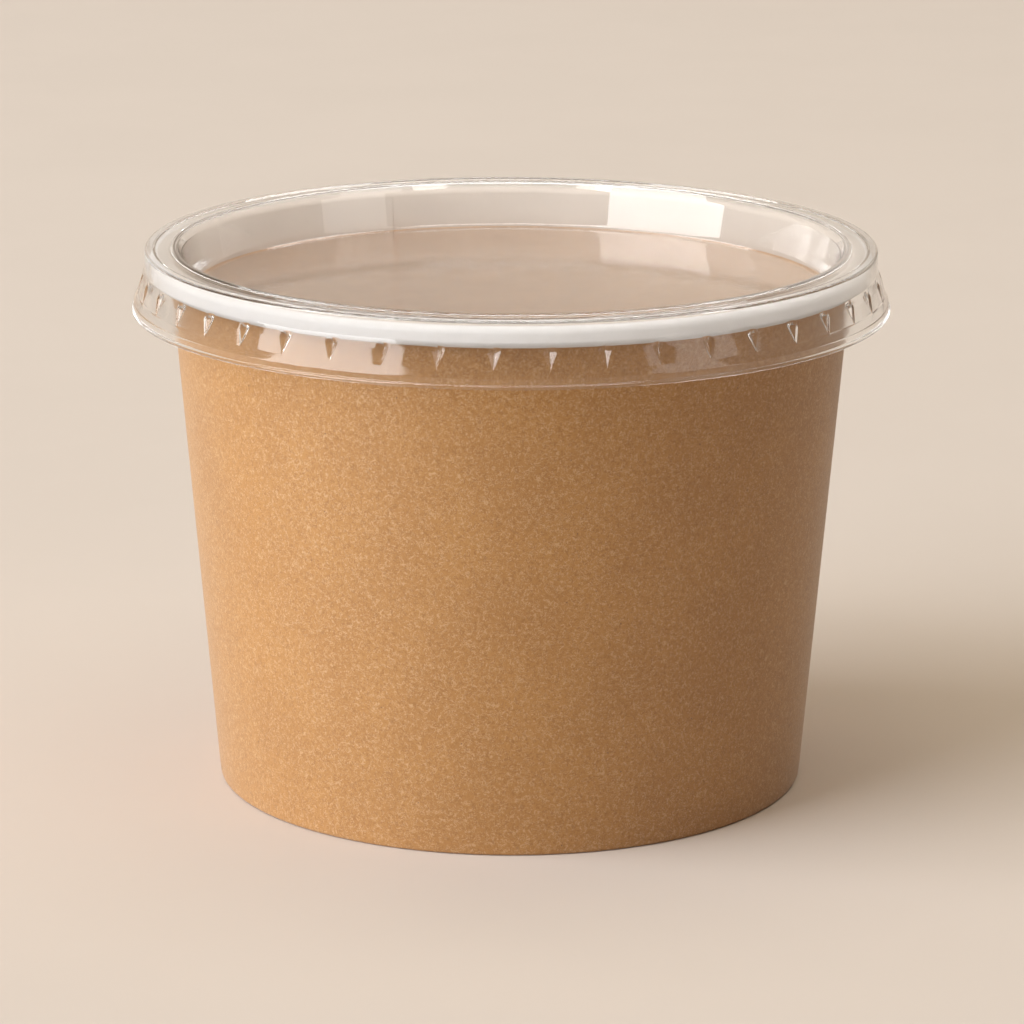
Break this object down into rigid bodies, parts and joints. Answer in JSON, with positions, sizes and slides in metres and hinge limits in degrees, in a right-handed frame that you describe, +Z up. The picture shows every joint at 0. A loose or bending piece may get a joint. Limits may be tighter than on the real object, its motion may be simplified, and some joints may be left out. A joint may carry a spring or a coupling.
{
  "type": "lidded paper ice cream cup",
  "caption": "Round kraft paper tub with a curled rim and a recessed base, closed by a clear press-fit lid with a sunken panel, grooved ring, crimps and a flared lip.",
  "frame": {"origin": "Centre of the cup's foot, on the surface it stands on.", "axes": "+Z is up along the axis of the cup and lid, -Y is the front that the picture shows, +X is to its right."},
  "size_m": [0.1024, 0.1024, 0.0736],
  "materials": {
    "kraft_board": "matt uncoated kraft paper board with fine fibres; the curled rim is white",
    "clear_plastic": "clear glossy thermoformed sheet"
  },
  "bodies": {
    "root": {"cup_wall": "kraft_board", "cup_base": "kraft_board", "lid": "clear_plastic"}
  },
  "joints": []
}
